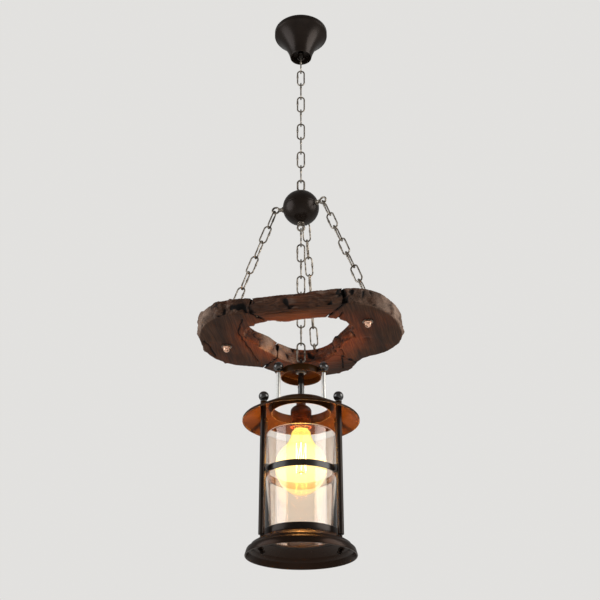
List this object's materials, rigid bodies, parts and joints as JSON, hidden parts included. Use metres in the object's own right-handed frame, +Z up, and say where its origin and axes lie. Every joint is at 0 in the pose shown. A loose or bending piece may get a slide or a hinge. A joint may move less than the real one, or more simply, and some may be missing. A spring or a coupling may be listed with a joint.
{
  "type": "lantern pendant light",
  "caption": "Chain-hung pendant: bell canopy, ball hub, rough timber ring on side chains and a caged glass lantern with a screw-in lamp below.",
  "frame": {"origin": "centre of the ceiling bracket's feet, on the ceiling plane", "axes": "+Z up to the ceiling, -Y the front of the lamp as pictured, +X to its right"},
  "size_m": [0.3948, 0.3318, 1.2122],
  "materials": {
    "black_metal": "satin black powder coat",
    "gloss_black": "glossy dark nickel-black",
    "chain_metal": "antique pewter plating",
    "zinc_steel": "zinc plated",
    "timber": "rough charred old timber",
    "dowel_wood": "plain beech",
    "bright_nut": "polished copper plating",
    "clear_glass": "clear",
    "lamp_glass": "clear, warm, lit",
    "bakelite": "brown moulded",
    "contact_brass": "plain",
    "black_plastic": "moulded",
    "white_ceramic": "unglazed",
    "hot_wire": "glowing"
  },
  "bodies": {
    "ceiling": {"ceiling_bracket": "zinc_steel", "nipple": "zinc_steel", "nipple_nuts": "zinc_steel", "terminal_block": "black_plastic", "terminal_screws": "contact_brass", "earth_screw": "zinc_steel", "canopy": "black_metal", "cord_gland": "black_plastic", "fixture_loop": "black_metal"},
    "top_link": {"top_chain_link": "chain_metal"},
    "crown": {"top_chain": "chain_metal", "hub_upper_shell": "black_metal", "hub_lower_shell": "black_metal", "hub_core": "zinc_steel", "hub_top_eye": "chain_metal", "hub_bottom_eye": "chain_metal", "hub_side_eyes": "chain_metal", "side_chain_left": "chain_metal", "side_chain_right": "chain_metal", "side_chain_far": "chain_metal", "ring_dowels": "dowel_wood", "wood_rail_near": "timber", "wood_board_right": "timber", "wood_board_far": "timber", "wood_board_left": "timber", "ring_eye_bolts": "chain_metal", "ring_washers": "zinc_steel", "ring_dome_nuts": "bright_nut"},
    "drop_link": {"drop_chain_link": "chain_metal"},
    "lantern": {"drop_chain": "chain_metal", "lantern_loop": "black_metal", "centre_tube": "black_metal", "cap_disc": "black_metal", "cap_lock_nut": "zinc_steel", "cap_nuts": "gloss_black", "brim_nuts": "gloss_black", "upper_posts": "black_metal", "brim_lock_nuts": "zinc_steel", "brim": "black_metal", "lower_post_left": "black_metal", "lower_post_right": "black_metal", "lower_post_far_left": "black_metal", "lower_post_far_right": "black_metal", "base_nuts": "zinc_steel", "glass_cylinder": "clear_glass", "collar_ring": "black_metal", "mid_ring": "black_metal", "base_flare": "black_metal", "lampholder_dome": "bakelite", "lampholder_sleeve": "bakelite", "socket_insert": "white_ceramic", "socket_shell": "contact_brass", "centre_contact": "contact_brass"},
    "bulb_tip": {"bulb_contact": "contact_brass"},
    "bulb": {"bulb_insulator": "black_plastic", "bulb_cap": "contact_brass", "bulb_glass": "lamp_glass", "bulb_stem": "lamp_glass", "filament_support": "hot_wire", "filament": "hot_wire"}
  },
  "joints": [
    {"name": "chain_swing_front", "type": "hinge", "parent": "ceiling", "child": "top_link", "pos_m": [0, 0, -0.0804], "axis": [1, 0, 0], "range_deg": [-20, 20]},
    {"name": "chain_swing_side", "type": "hinge", "parent": "top_link", "child": "crown", "pos_m": [0, 0, -0.1174], "axis": [0, 1, 0], "range_deg": [-20, 20]},
    {"name": "lantern_swing_front", "type": "hinge", "parent": "crown", "child": "drop_link", "pos_m": [0, 0, -0.5382], "axis": [1, 0, 0], "range_deg": [-8, 8]},
    {"name": "lantern_swing_side", "type": "hinge", "parent": "drop_link", "child": "lantern", "pos_m": [0, 0, -0.5752], "axis": [0, 1, 0], "range_deg": [-8, 8]},
    {"name": "bulb_travel", "type": "slide", "parent": "lantern", "child": "bulb_tip", "axis": [0, 0, 1], "range_m": [-0.0109, 0]},
    {"name": "bulb_turn", "type": "hinge", "parent": "bulb_tip", "child": "bulb", "pos_m": [0, 0, -0.965], "axis": [0, 0, 1], "range_deg": [-1080, 0]}
  ],
  "couplings": [
    {"joint": "bulb_travel", "follows": "bulb_turn", "m_per_rad": 0.00057757}
  ]
}
